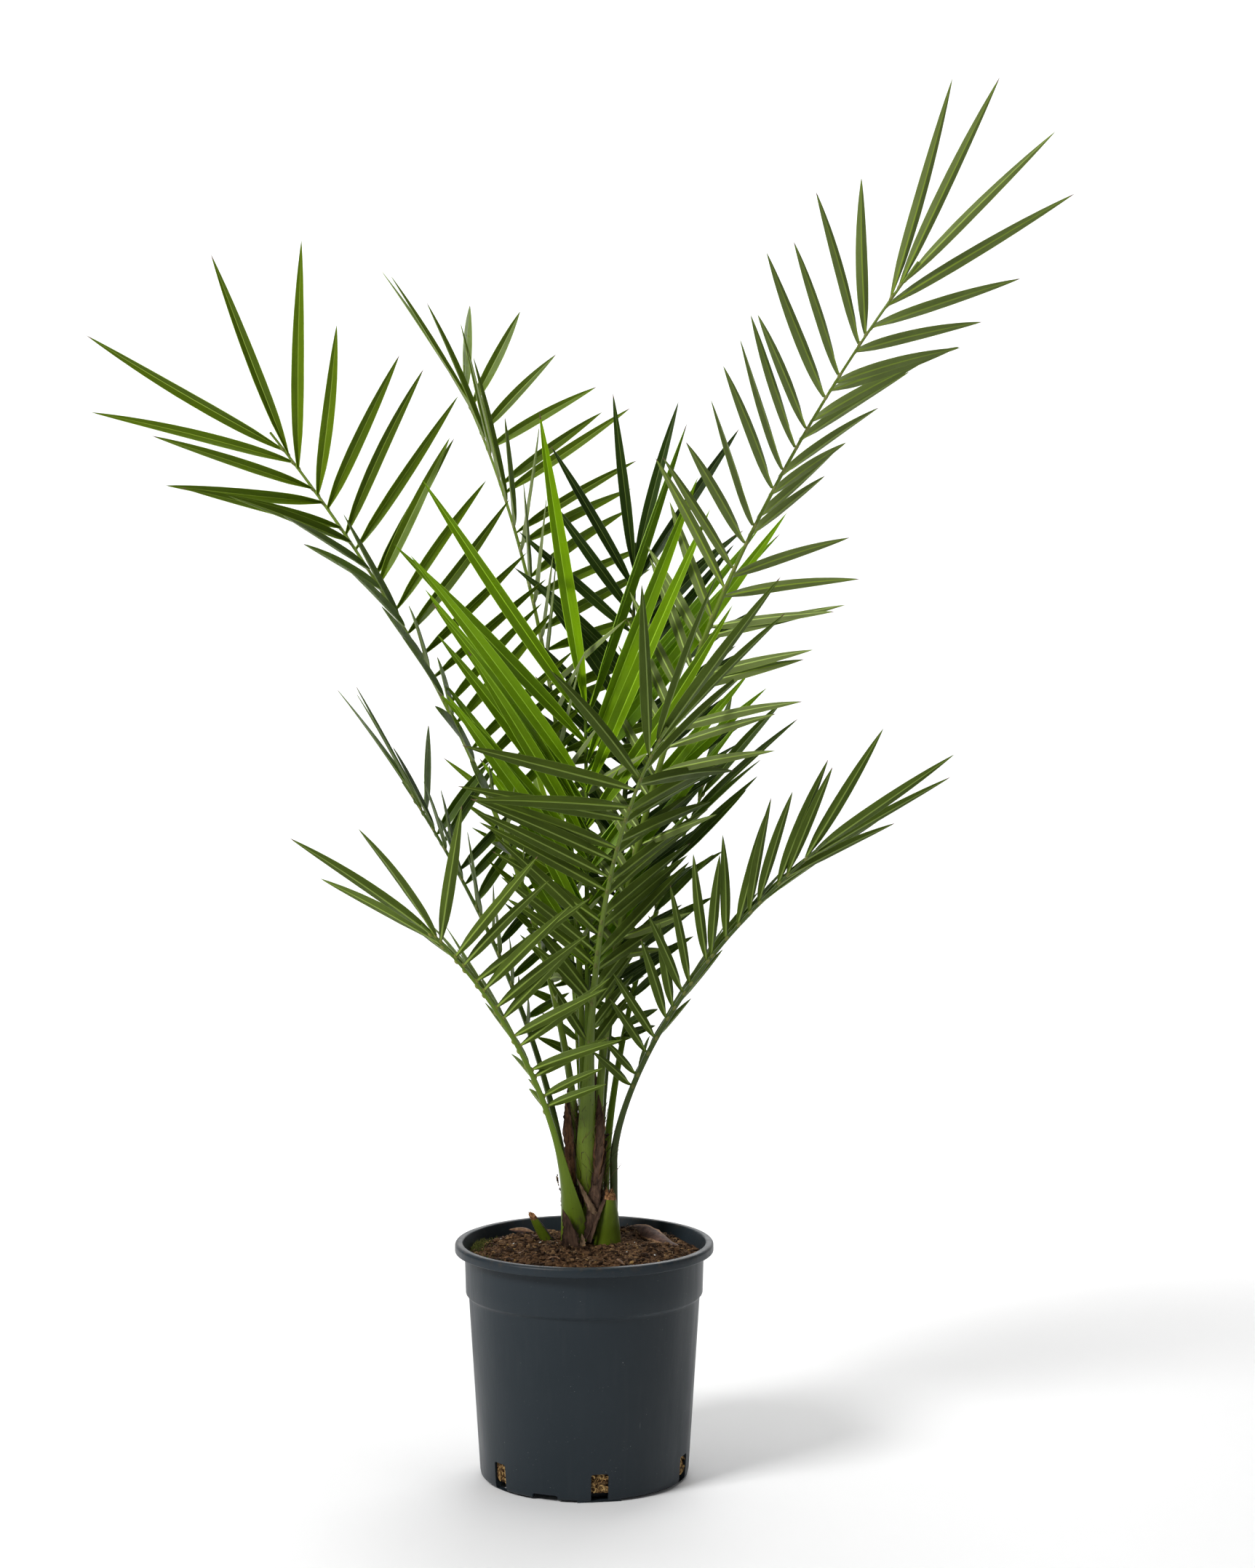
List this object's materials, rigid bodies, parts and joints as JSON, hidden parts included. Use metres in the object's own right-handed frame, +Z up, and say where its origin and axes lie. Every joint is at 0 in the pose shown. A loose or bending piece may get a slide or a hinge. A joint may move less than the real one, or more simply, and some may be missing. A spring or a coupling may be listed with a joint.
{
  "type": "potted date palm",
  "caption": "Young feather palm in a round tapered nursery pot, with arching pinnate fronds on a short stem above dark potting soil.",
  "frame": {"origin": "middle of the pot's underside, on the plane of its foot pads", "axes": "+Z up the pot's axis, -Y towards the viewer, +X to the viewer's right"},
  "size_m": [0.9095, 0.5584, 1.2684],
  "materials": {
    "pot_plastic": "moulded, softly glossy",
    "potting_soil": "moist crumbly peat, matte",
    "stem_fibre": "dry fibrous, matte",
    "leaf_base_green": "smooth green, satin",
    "frond_front_leaf": "waxy leaf, satin",
    "frond_left_tall_leaf": "waxy leaf, satin",
    "frond_left_low_leaf": "waxy leaf, satin",
    "frond_right_tall_leaf": "waxy leaf, satin",
    "frond_right_low_leaf": "waxy leaf, satin",
    "frond_back_tall_leaf": "waxy leaf, satin",
    "frond_left_back_leaf": "waxy leaf, satin",
    "frond_young_leaf": "waxy leaf, satin",
    "frond_back_right_leaf": "waxy leaf, satin",
    "frond_back_low_leaf": "waxy leaf, satin",
    "frond_right_back_leaf": "waxy leaf, satin"
  },
  "bodies": {
    "root": {"pot": "pot_plastic", "soil": "potting_soil", "stem": "stem_fibre", "cut_base_front": "leaf_base_green", "cut_base_left": "leaf_base_green", "sheath_front": "stem_fibre", "frond_front": "frond_front_leaf", "frond_left_tall": "frond_left_tall_leaf", "frond_left_low": "frond_left_low_leaf", "frond_right_tall": "frond_right_tall_leaf", "frond_right_low": "frond_right_low_leaf", "frond_back_tall": "frond_back_tall_leaf", "frond_left_back": "frond_left_back_leaf", "frond_young": "frond_young_leaf", "frond_back_right": "frond_back_right_leaf", "frond_back_low": "frond_back_low_leaf", "frond_right_back": "frond_right_back_leaf"}
  },
  "joints": []
}
